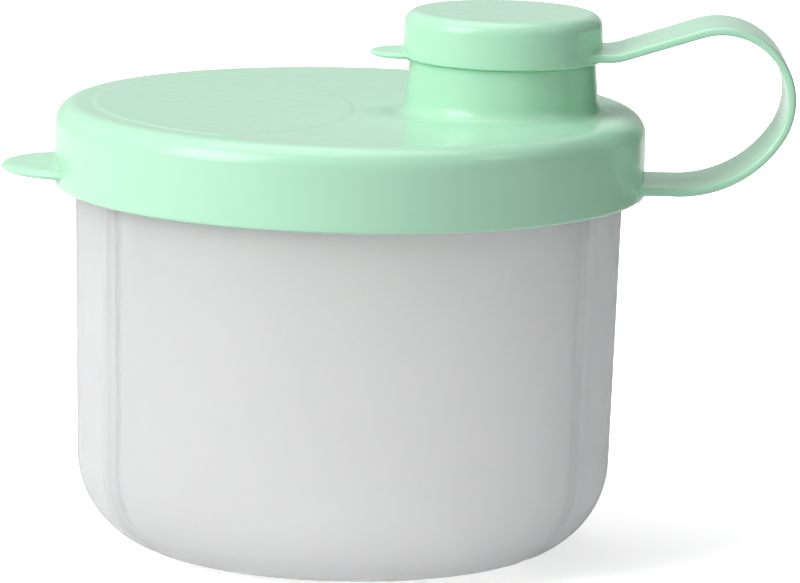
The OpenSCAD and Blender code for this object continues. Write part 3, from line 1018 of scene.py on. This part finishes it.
class CONTAINER_OT_tub(bpy.types.Operator):
    """Builds the milky tub with its grooves, ribs and snap bead"""
    bl_idname = "container.tub"
    bl_label = "Tub"

    def execute(self, context):
        settings = context.scene.container
        dress(tub_shell(settings.tub), "tub", "milky_plastic", milky_satin(settings.finish), "tub")
        return {"FINISHED"}


class CONTAINER_OT_divider(bpy.types.Operator):
    """Builds the lift-out divider"""
    bl_idname = "container.divider"
    bl_label = "Divider"

    def execute(self, context):
        settings = context.scene.container
        white = satin_plastic("white_satin", settings.finish.white, roughness=0.4, grain=1300)
        piece = divider_insert(settings.divider, settings.tub)
        dress(piece, "divider", "white_plastic", white, "divider")
        return {"FINISHED"}


class CONTAINER_OT_seal(bpy.types.Operator):
    """Builds the sealing ring"""
    bl_idname = "container.seal"
    bl_label = "Sealing ring"

    def execute(self, context):
        finish = context.scene.container.finish
        soft = satin_plastic("soft_white", finish.seal, roughness=0.55, grain=1800)
        dress(seal_ring(), "lid_seal", "soft_seal", soft, "lid_seal")
        return {"FINISHED"}


class CONTAINER_OT_lid(bpy.types.Operator):
    """Builds the lid with its neck and its pull tab"""
    bl_idname = "container.lid"
    bl_label = "Lid"

    def execute(self, context):
        settings = context.scene.container
        lid, tab = settings.lid, settings.pull_tab
        mint = glossy_mint(settings.finish)
        dress(lid_shell(lid, settings.spout, spout_place(settings)), "lid", "mint_plastic", mint, "lid")
        piece = half_moon("pull_tab", tab, 0, lid.radius, lid.skirt_low + lid.tab_lift, tab.fillet)
        dress(piece, "lid", "mint_plastic", mint)
        return {"FINISHED"}


class CONTAINER_OT_cap(bpy.types.Operator):
    """Builds the cap with its plug and its small tab"""
    bl_idname = "container.cap"
    bl_label = "Cap"

    def execute(self, context):
        settings = context.scene.container
        cap = settings.cap
        mint = glossy_mint(settings.finish)
        spout_x = spout_place(settings)
        dress(cap_shell(cap, spout_x), "cap", "mint_plastic", mint, "cap")
        piece = half_moon("cap_tab", settings.cap_tab, spout_x, cap.radius, cap.low, CAP_TAB_UNDER)
        dress(piece, "cap", "mint_plastic", mint)
        return {"FINISHED"}


class CONTAINER_OT_strap(bpy.types.Operator):
    """Builds the flexible strap in five pieces, parted between its flexing lines"""
    bl_idname = "container.strap"
    bl_label = "Strap"

    def execute(self, context):
        settings = context.scene.container
        mint = glossy_mint(settings.finish)
        pieces = strap_pieces(settings.strap, settings.lid, settings.cap, spout_place(settings))
        links = STRAP_BODIES[1:-1]
        for i, (piece, (start, end)) in enumerate(pieces):
            piece.data.materials.append(mint)
            STRAP_BODIES[i + 1]
            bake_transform(piece)
            if i < len(links):
                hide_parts(links[i])
        return {"FINISHED"}


def seen_directly(shader, stage):
    """One for rays from the camera and for transmitted rays, less for mirrored rays, zero for the light."""
    camera = shader.node("LightPath", output=0)
    mirrored = shader.node("LightPath", output=3)
    passed = shader.node("LightPath", output=6)
    return shader.node("Clamp", {"Value": camera + mirrored * stage.mirrored + passed})


def white_backdrop(stage):
    """World of even light, white where it is seen."""
    world = bpy.data.worlds.new("studio")
    shader = Shader(world)
    glow = seen_directly(shader, stage) * (1 - stage.ambient) + stage.ambient
    sky = shader.node("Background", {"Color": (1, 1, 1, 1), "Strength": glow})
    shader.node("OutputWorld", {"Surface": sky})
    bpy.context.scene.world = world


def stage_sheet(name, corners, material):
    """Sheet with four corners and a material, for the stage."""
    mesh = bpy.data.meshes.new(name)
    mesh.from_pydata(corners, [], [(0, 1, 2, 3)])
    mesh.materials.append(material)
    sheet = put(name, mesh)
    return sheet


def pale_floor(stage):
    """Plain pale floor: matt, so that it keeps the shadow, with a glow where it is seen that grows to
    white with the distance from the container."""
    material = bpy.data.materials.new("pale_floor")
    shader = Shader(material)
    away = shader.node("VectorMath", {0: shader.place()}, 1, operation="LENGTH")
    far = shader.node("MapRange", {"Value": away, "From Min": GLOW_NEAR, "From Max": GLOW_FAR},
                      interpolation_type="SMOOTHSTEP")
    tint = shader.mix(far, [stage.floor_glow] * 3, (1, 1, 1))
    seen = seen_directly(shader, stage)
    matt = shader.node("BsdfDiffuse", {"Color": (0.8, 0.8, 0.8, 1)})
    glow = shader.node("Emission", {"Color": tint, "Strength": seen})
    both = shader.node("AddShader", {0: matt, 1: glow})
    shader.node("OutputMaterial", {"Surface": both})
    near, far = -FLOOR_HALF, FLOOR_HALF
    stage_sheet("floor", [(near, near, 0), (far, near, 0), (far, far, 0), (near, far, 0)], material)


def dark_card():
    """Upright dark card behind the right side, out of sight, whose mirror image darkens the right edges."""
    material = bpy.data.materials.new("dark_card")
    shader = Shader(material)
    matt = shader.node("BsdfDiffuse", {"Color": (0.02, 0.02, 0.02, 1)})
    shader.node("OutputMaterial", {"Surface": matt})
    left, right = CARD_ENDS
    corners = [(*left, CARD_LOW), (*right, CARD_LOW), (*right, CARD_HIGH), (*left, CARD_HIGH)]
    stage_sheet("card", corners, material).visible_camera = False


def soft_lamp(name, place, size, power):
    """Rectangular soft box at a place, turned to the container."""
    light = bpy.data.lights.new(name, "AREA")
    light.shape = "RECTANGLE"
    light.size, light.size_y = size
    light.energy = power
    lamp = put(name, light)
    lamp.location = place
    lamp.rotation_mode = "QUATERNION"
    lamp.rotation_quaternion = (Vector(LAMP_AIM) - Vector(place)).to_track_quat("-Z", "Y")


class CONTAINER_OT_stage(bpy.types.Operator):
    """Sets up the camera, the soft studio light and the pale floor"""
    bl_idname = "container.stage"
    bl_label = "Stage"

    def execute(self, context):
        scene = context.scene
        stage = scene.container.stage
        lens = bpy.data.cameras.new("camera")
        lens.sensor_width = 36
        lens.lens = stage.focal_length * lens.sensor_width / stage.image_width
        lens.shift_x = (stage.image_width / 2 - stage.aim_column) / stage.image_width
        lens.shift_y = (stage.aim_row - stage.image_height / 2) / stage.image_width
        camera = put("camera", lens)
        back = Vector((0, -math.cos(stage.elevation), math.sin(stage.elevation)))
        camera.location = Vector((0, 0, stage.aim)) + back * stage.distance
        camera.rotation_mode = "QUATERNION"
        camera.rotation_quaternion = (-back).to_track_quat("-Z", "Y") @ Quaternion((0, 0, 1), stage.roll)
        scene.camera = camera
        scene.view_settings.view_transform = "Standard"
        white_backdrop(stage)
        pale_floor(stage)
        dark_card()
        for lamp in LAMPS:
            soft_lamp(*lamp)
        return {"FINISHED"}


class CONTAINER_PT_pieces(bpy.types.Panel):
    """Lists the pieces of the container"""
    bl_idname = "CONTAINER_PT_pieces"
    bl_label = "Milk powder container"
    bl_space_type = "VIEW_3D"
    bl_region_type = "UI"
    bl_category = "Container"

    def draw(self, context):
        for operator in OPERATORS:
            self.layout.operator(operator.bl_idname)


OPERATORS = [CONTAINER_OT_tub, CONTAINER_OT_divider, CONTAINER_OT_seal, CONTAINER_OT_lid,
             CONTAINER_OT_cap, CONTAINER_OT_strap, CONTAINER_OT_stage]
GROUPS = [TubSizes, DividerSizes, LidSizes, PullTab, SpoutSizes, CapSizes, CapTab, StrapSizes, Finishes,
          StageSizes, ContainerSettings]
CLASSES = [*GROUPS, *OPERATORS, CONTAINER_PT_pieces]


def register():
    for item in CLASSES:
        bpy.utils.register_class(item)
    bpy.types.Scene.container = PointerProperty(type=ContainerSettings)


def unregister():
    del bpy.types.Scene.container
    for item in reversed(CLASSES):
        bpy.utils.unregister_class(item)


def main():
    register()
    for operator in OPERATORS:
        getattr(bpy.ops.container, operator.bl_idname.split(".")[1])()


if __name__ == "__main__":
    main()
